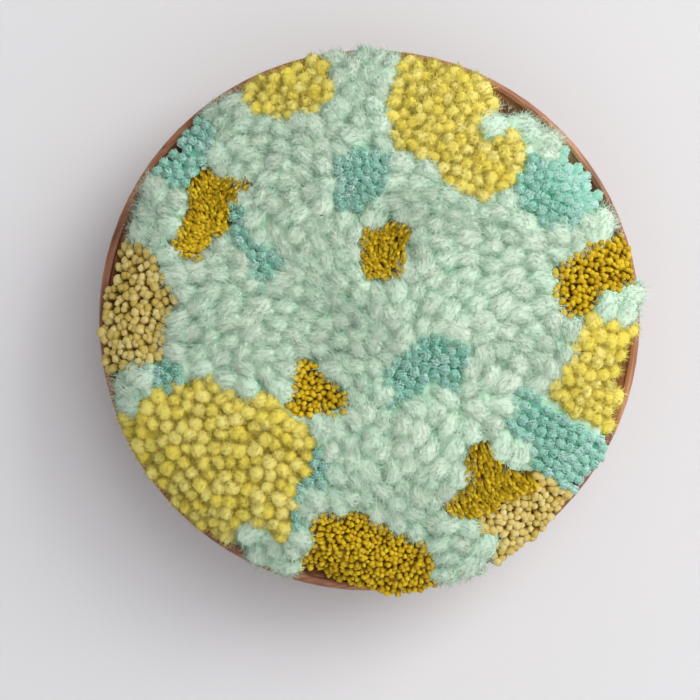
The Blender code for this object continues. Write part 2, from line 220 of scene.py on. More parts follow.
@dataclass
class Scatter:
    """Places tufts over the face, each yarn at its own pitch, clear of the tufts that stand there already."""

    layout: FaceLayout
    surface: PileSurface
    swirl_x: float = 0.010
    swirl_y: float = -0.006
    drift_span: float = 0.040
    drift_slice: float = 0.5
    drift: float = 3.0
    least_gap: float = 0.86
    usual_gap: float = 1.10
    smallest: float = 0.90
    largest: float = 1.22
    neighbours: int = 4
    tries_in_pitch: float = 2.6
    jitter: float = 0.45
    spreadings: int = 10
    push_reach: float = 1.25
    push_share: float = 0.22
    pitch_drift: float = 0.30
    pitch_span: float = 0.026
    pitch_slice: float = 7.5
    clearance: float = 0.82
    taken: np.ndarray = field(default_factory=lambda: np.empty((0, 3)))

    def lie_angle(self, x: float, y: float) -> float:
        """Direction of the hooked rows at a place: round the middle, with a slow drift."""
        turn = math.atan2(y - self.swirl_y, x - self.swirl_x) + math.pi / 2
        return turn + self.drift * noise.noise(Vector((x, y, self.drift_slice)) / self.drift_span)

    def coarseness(self, x: float, y: float) -> float:
        """Local size of the tufts, as a multiple of the usual one."""
        return 1 + self.pitch_drift * noise.noise(Vector((x, y, self.pitch_slice)) / self.pitch_span)

    def places(self, tufts: "TuftField") -> Places:
        """Fill a yarn's patches with tufts, each as large as the room that its neighbours leave it.

        Args:
            tufts: The tufts to place.

        Returns:
            The tufts' places.
        """
        dice = np.random.default_rng(tufts.seed)
        spots = self._spread(self._sow(tufts, dice), tufts)
        rows = []
        for x, y in spots:
            angle = self.lie_angle(x, y)
            gaps = np.sort(self._gaps(spots - (x, y), angle, tufts))[1:self.neighbours + 1]
            size = usual = self.coarseness(x, y)
            if len(gaps):
                size *= min(self.largest, max(self.smallest, gaps.mean() / usual / self.usual_gap))
            origin, normal = self.surface.rest(x, y)
            turned = angle + dice.uniform(-tufts.loose, tufts.loose)
            lie = Vector((math.cos(turned), 0, math.sin(turned)))
            lie = (lie - normal * lie.dot(normal)).normalized()
            rows.append((*origin, *normal, *lie, size))
        radii = np.full((len(spots), 1), tufts.half_pitch())
        self.taken = np.vstack((self.taken, np.hstack((spots, radii))))
        table = np.array(rows)
        return Places(table[:, :3], table[:, 3:6], table[:, 6:9], table[:, 9])

    def _holds(self, x: float, y: float, tufts: "TuftField") -> bool:
        """Whether a place is free, belongs to the tufts' yarn and lies inside the rim."""
        if math.hypot(x, y) > self.surface.reach(math.atan2(y, x)) - tufts.margin:
            return False
        if self.layout.yarn_at(x, y) is not tufts.yarn:
            return False
        room = self.clearance * (self.taken[:, 2] + tufts.half_pitch())
        return bool((np.hypot(self.taken[:, 0] - x, self.taken[:, 1] - y) >= room).all())

    def _sow(self, tufts: "TuftField", dice: np.random.Generator) -> np.ndarray:
        """Try places in random order and keep those with room around them."""
        step = min(tufts.along, tufts.across) / self.tries_in_pitch
        count = int(self.surface.radius / step) + 1
        steps = np.arange(-count, count + 1)
        grid = np.stack(np.meshgrid(steps, steps), -1).reshape(-1, 2)
        tried = (grid + dice.uniform(-self.jitter, self.jitter, grid.shape)) * step
        dice.shuffle(tried)
        kept = np.empty((0, 2))
        for x, y in tried:
            if not self._holds(x, y, tufts):
                continue
            room = self.least_gap * self.coarseness(x, y)
            if len(kept) and self._gaps(kept - (x, y), self.lie_angle(x, y), tufts).min() < room:
                continue
            kept = np.vstack((kept, (x, y)))
        return kept

    def _spread(self, spots: np.ndarray, tufts: "TuftField") -> np.ndarray:
        """Push close neighbours apart a few times, so that no bare gaps stay between the tufts."""
        for _ in range(self.spreadings):
            moved = spots.copy()
            for row, (x, y) in enumerate(spots):
                offsets = spots - (x, y)
                gaps = self._gaps(offsets, self.lie_angle(x, y), tufts)
                push = np.clip(self.push_reach * self.coarseness(x, y) - gaps, 0, None)
                push[row] = 0
                away = offsets / np.maximum(np.linalg.norm(offsets, axis=1, keepdims=True), 1e-9)
                shift = -(away * push[:, None]).sum(0) * min(tufts.along, tufts.across) * self.push_share
                if self._holds(x + shift[0], y + shift[1], tufts):
                    moved[row] += shift
            spots = moved
        return spots

    @staticmethod
    def _gaps(offsets: np.ndarray, angle: float, tufts: "TuftField") -> np.ndarray:
        """Measure offsets in pitches, along and across the lie."""
        ahead = (offsets[:, 0] * math.cos(angle) + offsets[:, 1] * math.sin(angle)) / tufts.along
        aside = (offsets[:, 1] * math.cos(angle) - offsets[:, 0] * math.sin(angle)) / tufts.across
        return np.hypot(ahead, aside)


@dataclass(frozen=True)
class FrameMouth:
    """The inside of the frame under its lip, which holds back the yarn that stands there."""

    radius: float = 0.0735
    height: float = 0.03075
    floor: float = 0.0065
    fullness: float = 3.2
    clearance: float = 0.0008

    def hold(self, points: np.ndarray) -> np.ndarray:
        """Keep yarn that lies under the lip inside the frame's wall.

        Args:
            points: Positions, one a row.

        Returns:
            The same positions, with those that would go through the wall moved inward.
        """
        share = (-points[:, 1] - self.floor) / (self.height - self.floor)
        wall = self.radius * np.clip(share, 0, 1) ** (1 / self.fullness) - self.clearance
        reach = np.maximum(np.hypot(points[:, 0], points[:, 2]), wall)
        pull = np.where(share < 1, wall / reach, 1.0)[:, None]
        return points * np.concatenate((pull, np.ones_like(pull), pull), axis=1)


def store_values(mesh: bpy.types.Mesh, tones: np.ndarray, depths: np.ndarray, lays: np.ndarray) -> None:
    """Store the values that the finishes read.

    Args:
        mesh: The mesh that takes them.
        tones: Tone of each corner.
        depths: From 0 at the root to 1 at the top, for each corner.
        lays: Position in the straightened yarn, for each corner.
    """
    for name, values in (("tone", tones), ("depth", depths)):
        mesh.attributes.new(name, "FLOAT", "POINT").data.foreach_set("value", values)
    mesh.attributes.new("lay", "FLOAT_VECTOR", "POINT").data.foreach_set("vector", lays.reshape(-1))


class MeshBatch:
    """Joins many small closed shapes of one kind into one mesh, with values for their material."""

    MOUTH = FrameMouth()

    def __init__(self) -> None:
        """Start an empty batch."""
        self.points: list[np.ndarray] = []
        self.corners: list[np.ndarray] = []
        self.sizes: list[np.ndarray] = []
        self.tones: list[np.ndarray] = []
        self.depths: list[np.ndarray] = []
        self.lays: list[np.ndarray] = []
        self.normals: list[np.ndarray] = []
        self.total = 0

    def add(
        self,
        points: np.ndarray,
        faces: list[tuple[int, ...]],
        tones: np.ndarray,
        depths: np.ndarray,
        lays: np.ndarray,
        normals: np.ndarray,
    ) -> None:
        """Add copies of one shape.

        Args:
            points: Corner positions, shaped copies by corners by 3.
            faces: The shape's faces, as corner numbers.
            tones: One value for each copy, or for each corner of each copy.
            depths: From 0 at the root to 1 at the top, for each corner of each copy.
            lays: Position in the straightened yarn, for each corner of each copy.
            normals: Soft outward direction, for each corner of each copy.
        """
        copies, corners = points.shape[:2]
        base = (np.arange(copies) * corners + self.total)[:, None]
        for size in sorted({len(face) for face in faces}):
            rows = np.array([face for face in faces if len(face) == size])
            self.corners.append((rows.reshape(1, -1) + base).reshape(-1))
            self.sizes.append(np.full(copies * len(rows), size))
        self.points.append(points.reshape(-1, 3))
        if tones.ndim == 1:
            tones = np.repeat(tones[:, None], corners, 1)
        self.tones.append(tones.reshape(-1))
        self.depths.append(np.broadcast_to(depths, (copies, corners)).reshape(-1))
        self.lays.append(lays.reshape(-1, 3))
        self.normals.append(unit(normals).reshape(-1, 3))
        self.total += copies * corners

    def build(self, name: str, material: bpy.types.Material) -> bpy.types.Object:
        """Make the joined object.

        Args:
            name: Name of the piece.
            material: Its finish.

        Returns:
            The new object, linked to the scene.
        """
        points = self.MOUTH.hold(np.concatenate(self.points))
        corners = np.concatenate(self.corners)
        sizes = np.concatenate(self.sizes)
        mesh = bpy.data.meshes.new(name)
        mesh.vertices.add(len(points))
        mesh.vertices.foreach_set("co", points.reshape(-1).astype(np.float32))
        mesh.loops.add(len(corners))
        mesh.loops.foreach_set("vertex_index", corners.astype(np.int32))
        mesh.polygons.add(len(sizes))
        mesh.polygons.foreach_set("loop_start", (np.cumsum(sizes) - sizes).astype(np.int32))
        mesh.update(calc_edges=True)
        store_values(mesh, np.concatenate(self.tones), np.concatenate(self.depths), np.concatenate(self.lays))
        mesh.shade_smooth()
        mesh.normals_split_custom_set_from_vertices(np.concatenate(self.normals).astype(np.float32))
        mesh.materials.append(material)
        piece = bpy.data.objects.new(name, mesh)
        bpy.context.scene.collection.objects.link(piece)
        return piece


def tube_faces(rings: int, sides: int) -> list[tuple[int, ...]]:
    """List the faces of a closed tube whose end centres are its last two corners.

    Args:
        rings: Number of rings.
        sides: Corners in a ring.

    Returns:
        The faces, facing outwards.
    """
    faces: list[tuple[int, ...]] = []
    start, end = rings * sides, rings * sides + 1
    for side in range(sides):
        after = (side + 1) % sides
        for ring in range(rings - 1):
            low, high = ring * sides, (ring + 1) * sides
            faces.append((low + side, low + after, high + after, high + side))
        faces.append((start, after, side))
        last = (rings - 1) * sides
        faces.append((end, last + side, last + after))
    return faces


@dataclass
class LoopShapes:
    """Built loops, kept for the fuzz on them: rings, outward directions, tangents, tones and depths."""

    rings: np.ndarray
    outward: np.ndarray
    tangents: np.ndarray
    tones: np.ndarray
    depths: np.ndarray


@dataclass
class ArchLoops:
    """A field of hooked loops: each an arch of thick yarn whose two legs go down into the backing."""

    LUMP_WAVES = ((2.6, 2), (4.3, -3))
    ROUNDING = 0.5

    width: float
    thickness: float
    span: float
    height: float
    lift: float
    size_spread: float = 0.14
    lumps: float = 0.07
    wobble: float = 0.10
    tilt: float = 0.25
    lean: float = 0.0
    crown: float = 0.8
    leg_narrowing: float = 0.35
    softness: float = 0.4
    twist: float = 0.0
    plies: int = 0
    ply_relief: float = 0.0
    steps: int = 12
    sides: int = 12

    def build(self, places: Places, batch: MeshBatch, seed: int) -> LoopShapes:
        """Add the loops to a batch.

        Args:
            places: Where they stand.
            batch: The mesh that takes them.
            seed: Seed of their unevenness.

        Returns:
            The built loops.
        """
        dice = np.random.default_rng(seed)
        count, rings = len(places), self.steps + 1
        size = places.sizes[:, None] * (1 + dice.uniform(-self.size_spread, self.size_spread, (count, 1)))
        turn = np.linspace(0, math.pi, rings)[None, :]
        phase = dice.uniform(0, math.tau, (count, 4, 1))
        along = -self.span / 2 * size * np.cos(turn)
        up = self.height * size * np.sin(turn) ** self.crown
        up = up - self.height * size - self.thickness / 2 * size + self.lift * size
        aside = self.wobble * self.width * np.sin(2 * turn + phase[:, 0])
        lean = dice.uniform(-self.tilt, self.tilt, (count, 2)) + (self.lean, 0)
        middle = up.mean(1, keepdims=True)
        along = along + lean[:, :1] * (up - middle)
        aside = aside + lean[:, 1:] * (up - middle)
        path = np.stack((along, aside, up), -1)
        tangent = unit(np.gradient(path, axis=1))
        side = np.broadcast_to(np.array((0.0, 1.0, 0.0)), path.shape)
        side = unit(side - tangent * (side * tangent).sum(-1, keepdims=True))
        out = np.cross(tangent, side)

        around = np.linspace(0, math.tau, self.sides, endpoint=False)[None, None, :]
        fullness = 1 - self.leg_narrowing * (1 - np.sin(turn) ** self.ROUNDING)
        bulge = 1 + self.lumps * sum(
            np.sin(wave * turn[..., None] + folds * around + phase[:, number, :, None])
            for number, (wave, folds) in enumerate(self.LUMP_WAVES, 1)
        )
        if self.plies:
            bulge = bulge + self.ply_relief * np.abs(
                np.sin(self.plies / 2 * (around + self.twist * turn[..., None] + phase[:, 3, :, None]))
            )
        radius = (fullness * size)[..., None] * bulge
        wide = self.width / 2 * radius * np.cos(around)
        thick = self.thickness / 2 * radius * np.sin(around)
        rings_local = path[:, :, None, :] + wide[..., None] * side[:, :, None, :]
        rings_local = rings_local + thick[..., None] * out[:, :, None, :]

        axes = places.axes()
        rings_world = np.einsum("nrsk,nkj->nrsj", rings_local, axes) + places.origins[:, None, None, :]
        middles = np.einsum("nrk,nkj->nrj", path, axes) + places.origins[:, None, :]
        tangents = np.einsum("nrk,nkj->nrj", tangent, axes)

        tones = dice.uniform(0, 1, count)
        shift = dice.uniform(0, 1, (count, 1, 1, 3))
        length = np.cumsum(np.linalg.norm(np.diff(path, axis=1, prepend=path[:, :1]), axis=-1), axis=1)
        lay = np.stack((np.broadcast_to(length[..., None], wide.shape), wide, thick), -1) + shift
        # Depth from a loop's lowest point to its top: it picks painted shade low on the loop and the lighter
        # painted top colour on its crown.
        level = rings_local[..., 2]
        deepest = up.min(1)[:, None, None]
        depth = np.clip((level - deepest) / (level.max((1, 2), keepdims=True) - deepest), 0, 1)
        ends = np.stack((middles[:, 0], middles[:, -1]), 1)
        end_lay = np.stack((lay[:, 0].mean(1), lay[:, -1].mean(1)), 1)
        radial = unit(rings_world - middles[:, :, None, :])
        girth = np.roll(rings_world, -1, 2) - np.roll(rings_world, 1, 2)
        slope = unit(np.cross(girth, np.gradient(rings_world, axis=1)))
        slope = slope * np.sign((slope * radial).sum(-1, keepdims=True))
        outward = unit(slope * (1 - self.softness) + places.normals[:, None, None, :] * self.softness)
        end_outward = np.repeat(places.normals[:, None, :], 2, 1)
        batch.add(
            np.concatenate((rings_world.reshape(count, -1, 3), ends), 1),
            tube_faces(rings, self.sides),
            tones,
            # The two buried end caps get depth 0, the full painted shade.
            np.concatenate((depth.reshape(count, -1), np.zeros((count, 2))), 1),
            np.concatenate((lay.reshape(count, -1, 3), end_lay), 1),
            np.concatenate((outward.reshape(count, -1, 3), end_outward), 1),
        )
        return LoopShapes(rings_world, outward, tangents, tones, depth)


UPPER_SIDE = (-0.06, 0.56)


@dataclass
class Fuzz:
    """Fine stray fibres that stand a little off a fluffy yarn's surface."""

    per_loop: int
    length: float
    radius: float
    lift: float
    comb: float
    stray: float = 0.6
    length_range: tuple[float, float] = (0.45, 1.25)
    own_tone: float = 0.5
    # Raises the fibres' depth, so that they take less painted shade and more of the painted top colour over
    # creases.
    painted_light_lift: float = 0.05
    ruffle: float = 0.30
    lowest_ring: float = 0.26

    def build(self, shapes: LoopShapes, batch: MeshBatch, seed: int) -> None:
        """Grow the fibres on the upper side of built loops.

        Args:
            shapes: The loops that carry them.
            batch: The mesh that takes them.
            seed: Seed of their directions.
        """
        dice = np.random.default_rng(seed)
        loops, rings, sides = shapes.rings.shape[:3]
        count = loops * self.per_loop
        loop = np.repeat(np.arange(loops), self.per_loop)
        low = int(rings * self.lowest_ring) + 1
        ring = dice.integers(low, rings - low, count)
        side = (dice.uniform(*UPPER_SIDE, count) * sides).astype(int) % sides
        share = dice.uniform(0, 1, (count, 1))
        surface = shapes.rings[loop, ring, side] * share
        surface = surface + shapes.rings[loop, ring - 1, (side + 1) % sides] * (1 - share)
        normal = shapes.outward[loop, ring, side]
        tangent = shapes.tangents[loop, ring] * dice.choice((-1, 1), (count, 1))
        first = unit(normal * self.lift + tangent * self.comb + self.stray * dice.uniform(-1, 1, (count, 3)))
        length = self.length * dice.uniform(*self.length_range, (count, 1))
        root = surface - normal * self.radius
        paths = np.stack((root, root + first * length), 1)
        tones = shapes.tones[loop] * (1 - self.own_tone) + dice.uniform(0, self.own_tone, count)
        # Lifted depth: less painted shade on the fibres than on the loop under them.
        depths = shapes.depths[loop, ring, side] + self.painted_light_lift
        ruffled = unit(normal + self.ruffle * dice.normal(size=(count, 3)))
        add_fibres(batch, paths, ruffled, self.radius, tones, depths, dice)


@dataclass
class Wisps:
    """Drawn-out wisps of fibre that lie along a loop and blur its outline."""

    per_loop: int
    radius: float
    offset: float
    shortest: float = 0.30
    longest: float = 0.62
    slide: float = 0.9
    lowest_ring: float = 0.10
    sink: float = 0.5
    end_rise: float = 0.6
    own_tone: float = 0.4
    points: int = 5

    def build(self, shapes: LoopShapes, batch: MeshBatch, seed: int) -> None:
        """Lay the wisps on built loops.

        Args:
            shapes: The loops that carry them.
            batch: The mesh that takes them.
            seed: Seed of their places.
        """
        dice = np.random.default_rng(seed)
        loops, rings, sides = shapes.rings.shape[:3]
        count = loops * self.per_loop
        loop = np.repeat(np.arange(loops), self.per_loop)[:, None]
        length = dice.uniform(self.shortest, self.longest, (count, 1))
        start = self.lowest_ring + (1 - 2 * self.lowest_ring - length) * dice.uniform(0, 1, (count, 1))
        share = np.linspace(0, 1, self.points)[None, :]
        ring = (start + length * share) * (rings - 1)
        side = dice.uniform(*UPPER_SIDE, (count, 1)) * sides
        side = (side + self.slide * dice.uniform(-1, 1, (count, 1)) * share) % sides
        low, near = np.floor(ring).astype(int), np.floor(side).astype(int)
        up, on = (ring - low)[..., None], (side - near)[..., None]
        high, far = np.minimum(low + 1, rings - 1), (near + 1) % sides
        near = near % sides
        grid = shapes.rings
        lower = grid[loop, low, near] * (1 - on) + grid[loop, low, far] * on
        upper = grid[loop, high, near] * (1 - on) + grid[loop, high, far] * on
        surface = lower * (1 - up) + upper * up
        normal = shapes.outward[loop, low, near]
        rise = self.offset * dice.uniform(-self.sink, 1, (count, 1))
        rise = rise + self.end_rise * self.offset * (2 * share - 1) ** 2
        paths = surface + normal * rise[..., None]
        tones = shapes.tones[loop[:, 0]] * (1 - self.own_tone) + dice.uniform(0, self.own_tone, count)
        middle = self.points // 2
        # Each wisp takes its loop's depth at its middle, and with it the loop's painted shade there.
        depths = shapes.depths[loop, low, near][:, middle]
        add_fibres(batch, paths, normal[:, middle], self.radius, tones, depths, dice, both_ends=True)


def ring_directions(
    paths: np.ndarray, sides: int, dice: np.random.Generator
) -> tuple[np.ndarray, np.ndarray]:
    """Work out the rings round paths, each path turned at random about its own length.

    Args:
        paths: Their points from root to tip, shaped paths by points by 3.
        sides: Corners in a ring.
        dice: Source of the turns.

    Returns:
        The tangents, and the directions to the rings' corners, shaped paths by points by sides by 3.
    """
    tangent = unit(np.gradient(paths, axis=1))
    side = unit(np.cross(tangent, unit(dice.normal(size=(len(paths), 1, 3)))))
    other = np.cross(tangent, side)
    around = np.linspace(0, math.tau, sides, endpoint=False)[None, None, :, None]
    return tangent, np.cos(around) * side[:, :, None] + np.sin(around) * other[:, :, None]


WISP_TAPER = 0.7
SPIKE_TAPER = 0.6


def add_fibres(
    batch: MeshBatch,
    paths: np.ndarray,
    normals: np.ndarray,
    radius: float,
    tones: np.ndarray,
    depths: np.ndarray,
    dice: np.random.Generator,
    both_ends: bool = False,
) -> None:
    """Add three-sided pointed fibres along paths.

    Args:
        batch: The mesh that takes them.
        paths: Their points from root to tip, shaped fibres by points by 3.
        normals: Outward direction of the surface that each fibre lies on.
        radius: Radius at the thickest place.
        tones: One tone for each fibre.
        depths: One depth for each fibre.
        dice: Source of their turn about their own length.
        both_ends: Whether the root is pointed like the tip.
    """
    count, points = paths.shape[:2]
    directions = ring_directions(paths, 3, dice)[1]
    share = np.linspace(0, 1, points)
    profile = np.sin(math.pi * share) ** WISP_TAPER if both_ends else (1 - share) ** SPIKE_TAPER
    taper = profile[None, :, None, None] * radius
    rings = paths[:, :, None, :] + taper * directions
    first = 1 if both_ends else 0
    rings = rings[:, first:-1].reshape(count, -1, 3)
    ring_count = points - 1 - first
    tip = ring_count * 3
    faces: list[tuple[int, ...]] = []
    for i in range(3):
        after = (i + 1) % 3
        for ring in range(ring_count - 1):
            faces.append((ring * 3 + i, ring * 3 + after, ring * 3 + 3 + after, ring * 3 + 3 + i))
        faces.append((tip - 3 + i, tip - 3 + after, tip))
        if both_ends:
            faces.append((after, i, tip + 1))
    corners = np.concatenate((rings, paths[:, -1:]) + ((paths[:, :1],) if both_ends else ()), 1)
    depth = np.broadcast_to(np.clip(depths, 0, 1)[:, None], corners.shape[:2])
    outward = np.broadcast_to(normals[:, None, :], corners.shape)
    batch.add(corners, faces, tones, depth, corners - corners[:, :1], outward)


@dataclass
class CutStrands:
    """Tufts of cut strands that fan out of one root, as cut floss and cut cotton do."""

    GOLDEN_TURN = math.pi * (3 - math.sqrt(5))
    SPREAD_RANGE = (0.75, 1.25)
    SPLAY_CURVE = 1.3
    OWN_TONE = 0.3

    strands: int
    radius: float
    height: float
    lift: float
    spread: float
    unevenness: float = 0.08
    root_radius: float = 0.0005
    curl: float = 0.10
    lean: float = 0.0
    doming: float = 0.10
    sides: int = 4
    rings: int = 3

    def build(self, places: Places, batch: MeshBatch, seed: int) -> None:
        """Add the tufts to a batch.

        Args:
            places: Where they stand.
            batch: The mesh that takes them.
            seed: Seed of their unevenness.
        """
        dice = np.random.default_rng(seed)
        tufts, count = len(places), len(places) * self.strands
        number = np.tile(np.arange(self.strands), tufts)
        tuft = np.repeat(np.arange(tufts), self.strands)
        angle = number * self.GOLDEN_TURN + dice.uniform(0, math.tau, tufts)[tuft]
        share = np.sqrt((number + 0.5) / self.strands)
        tilt = self.spread * share * dice.uniform(*self.SPREAD_RANGE, count)
        axes = places.axes()[tuft]
        away = np.cos(angle)[:, None] * axes[:, 0] + np.sin(angle)[:, None] * axes[:, 1]
        up = unit(axes[:, 2] + self.lean * axes[:, 0])
        length = self.height * (1 - self.doming * share ** 2)
        length = length * dice.uniform(1 - self.unevenness, 1 + self.unevenness, count)
        root = places.origins[tuft] + up * (self.lift - self.height)
        root = root + away * (self.root_radius * share)[:, None]
        steps = np.linspace(0, 1, self.rings)[None, :, None]
        bend = self.curl * dice.uniform(-1, 1, (count, 1, 3)) * length[:, None, None]
        reach = np.sin(tilt)[:, None, None] * away[:, None] * steps ** self.SPLAY_CURVE
        rise = np.cos(tilt)[:, None, None] * up[:, None] * steps
        paths = root[:, None] + length[:, None, None] * (reach + rise) + bend * steps ** 2
        tones = dice.uniform(0, 1, tufts)[tuft] * (1 - self.OWN_TONE)
        tones = tones + dice.uniform(0, 1, count) * self.OWN_TONE
        add_strands(batch, paths, unit(up + away * share[:, None]), self.radius, self.sides, tones, dice)


STRAND_SWELL = 0.15
STRAND_THICKNESS = (0.85, 1.2)
STRAND_TIP = 0.5
STRAND_ROUNDING = 0.4


def add_strands(
    batch: MeshBatch,
    paths: np.ndarray,
    normals: np.ndarray,
    radius: float,
    sides: int,
    tones: np.ndarray,
    dice: np.random.Generator,
) -> None:
    """Add closed blunt-ended strands along paths.

    Args:
        batch: The mesh that takes them.
        paths: Their points from root to tip, shaped strands by points by 3.
        normals: Outward direction of the tuft's surface at each strand.
        radius: Radius of a strand.
        sides: Sides of a strand.
        tones: One tone for each strand.
        dice: Source of their turn and thickness.
    """
    count, points = paths.shape[:2]
    tangent, directions = ring_directions(paths, sides, dice)
    swell = 1 + STRAND_SWELL * np.linspace(-1, 1, points)[None, :, None, None]
    thick = radius * swell * dice.uniform(*STRAND_THICKNESS, (count, 1, 1, 1))
    across = thick * directions
    rings = (paths[:, :, None, :] + across).reshape(count, -1, 3)
    tip = paths[:, -1] + tangent[:, -1] * radius * STRAND_TIP
    corners = np.concatenate((rings, paths[:, :1], tip[:, None]), 1)
    # Depth runs from 0 at a strand's root to 1 at its tip, so the roots take the painted shade colour.
    share = np.repeat(np.linspace(0, 1, points), sides)
    depth = np.concatenate((share, (0, 1)))[None, :]
    length = np.linalg.norm(paths[:, -1] - paths[:, 0], axis=-1)[:, None] * depth
    flat = np.concatenate((across.reshape(count, -1, 3), np.zeros((count, 2, 3))), 1)
    lay = np.stack((length, flat[..., 0], flat[..., 2]), -1) + dice.uniform(0, 1, (count, 1, 3))
    outward = unit(flat) * STRAND_ROUNDING + normals[:, None, :]
    batch.add(corners, tube_faces(points, sides), tones, depth, lay, outward)


FLOAT = "NodeSocketFloat"
COLOUR = "NodeSocketColor"
VECTOR = "NodeSocketVector"


@dataclass(frozen=True)
class Wiring:
    """A node tree that takes each node together with its values and links."""

    tree: bpy.types.NodeTree

    def add(
        self,
        kind: str,
        inputs: dict[str | int, object] | None = None,
        operation: str = "",
        data_type: str = "",
        group: bpy.types.NodeTree | None = None,
    ) -> bpy.types.Node:
        """Add a node.

        Args:
            kind: Type of the node.
            inputs: Value of each input, or the output that feeds it, by name or number.
            operation: What the node works out, if it has a choice.
            data_type: What kind of values it takes, if it has a choice.
            group: The group that it places, if it is a group node.

        Returns:
            The new node.
        """
        node = self.tree.nodes.new(f"ShaderNode{kind}")
        if operation:
            node.operation = operation
        if data_type:
            node.data_type = data_type
        if group:
            node.node_tree = group
        self.fill(node.name, inputs or {})
        return node

    def fill(self, name: str, inputs: dict[str | int, object]) -> None:
        """Set or link inputs of a node.

        Args:
            name: Name of the node.
            inputs: Value of each input, or the output that feeds it, by name or number.
        """
        sockets = self.tree.nodes[name].inputs
        for label, value in inputs.items():
            if isinstance(value, bpy.types.NodeSocket):
                self.tree.links.new(value, sockets[label])
            else:
                sockets[label].default_value = value

    def attribute(self, name: str, output: str) -> bpy.types.NodeSocket:
        """Read one of the mesh's own values."""
        node = self.add("Attribute")
        node.attribute_name = name
        return node.outputs[output]


def new_material(name: str) -> tuple[bpy.types.Material, Wiring]:
    """Start a material and its wiring."""
    material = bpy.data.materials.new(name)
    material.use_nodes = True
    return material, Wiring(material.node_tree)


class ShaderGroups:
    """Effects that more than one finish uses, each a node group built once."""

    def __init__(self) -> None:
        """Build the groups."""
        self.streaks = self._streaks()
        self.tint = self._painted_light_tint()

    @staticmethod
    def _new(name: str, inputs: dict[str, str], outputs: dict[str, str]) -> Wiring:
        """Start a group with its sockets.

        Args:
            name: Name of the group.
            inputs: Socket type of each input.
            outputs: Socket type of each output.

        Returns:
            The empty group's wiring.
        """
        tree = bpy.data.node_groups.new(name, "ShaderNodeTree")
        for way, sockets in (("INPUT", inputs), ("OUTPUT", outputs)):
            for label, kind in sockets.items():
                tree.interface.new_socket(label, in_out=way, socket_type=kind)
        tree.nodes.new("NodeGroupInput")
        tree.nodes.new("NodeGroupOutput")
        return Wiring(tree)

    def _streaks(self) -> bpy.types.NodeTree:
        """Fibre streaks that run along a yarn, finer across it than along it."""
        wiring = self._new(
            "Fibre streaks",
            {"Lay": VECTOR, "Along": FLOAT, "Across": FLOAT},
            {"Streak": FLOAT, "Fleck": FLOAT},
        )
        source = wiring.tree.nodes["Group Input"].outputs
        across = source["Across"]
        scales = wiring.add("CombineXYZ", {"X": source["Along"], "Y": across, "Z": across}).outputs["Vector"]
        stretched = wiring.add("VectorMath", {0: source["Lay"], 1: scales}, operation="MULTIPLY")
        place = stretched.outputs["Vector"]
        streak = wiring.add(
            "TexNoise", {"Vector": place, "Scale": 1.0, "Detail": 3.0, "Roughness": 0.6, "Distortion": 0.6}
        )
        fleck = wiring.add("TexNoise", {"Vector": place, "Scale": 0.35, "Detail": 1.0})
        wiring.fill("Group Output", {"Streak": streak.outputs["Fac"], "Fleck": fleck.outputs["Fac"]})
        return wiring.tree

    def _painted_light_tint(self) -> bpy.types.NodeTree:
        """Colour of a yarn: painted shade low on each tuft and in its creases, the middle colour above, and a
        lighter colour painted on the tops where streak or tone run light (painted highlight, partly real
        tone).
        """
        colours = dict.fromkeys(("Painted Shade", "Middle", "Light"), COLOUR)
        values = dict.fromkeys(("Depth", "Tone", "Streak", "Tone Share", "Shade Depth", "Top Depth"), FLOAT)
        wiring = self._new("Yarn colour with painted light and shade", colours | values, {"Color": COLOUR})
        source = wiring.tree.nodes["Group Input"].outputs
        # Painted shade: the shade colour low on each tuft and in its creases, fading into the middle colour
        # towards the top.
        painted_light_level = wiring.add(
            "MapRange",
            {"Value": source["Depth"], "From Min": source["Shade Depth"], "From Max": source["Top Depth"]},
        ).outputs["Result"]
        base = wiring.add(
            "Mix", {"Factor": painted_light_level, "A": source["Painted Shade"], "B": source["Middle"]}, data_type="RGBA"
        )
        choice = wiring.add(
            "Mix",
            {"Factor": source["Tone Share"], "A": source["Streak"], "B": source["Tone"]},
            data_type="FLOAT",
        )
        # Painted highlight: the lighter colour is laid on the tops only, where streak or tone run light; the
        # streak and tone part is the yarn's own variation.
        lit = wiring.add("MapRange", {"Value": choice.outputs["Result"], "From Min": 0.35, "From Max": 0.75})
        painted_highlight_share = wiring.add("Math", {0: lit.outputs["Result"], 1: painted_light_level}, operation="MULTIPLY")
        top = wiring.add(
            "Mix",
            {"Factor": painted_highlight_share.outputs["Value"], "A": base.outputs["Result"], "B": source["Light"]},
            data_type="RGBA",
        )
        wiring.fill("Group Output", {"Color": top.outputs["Result"]})
        return wiring.tree


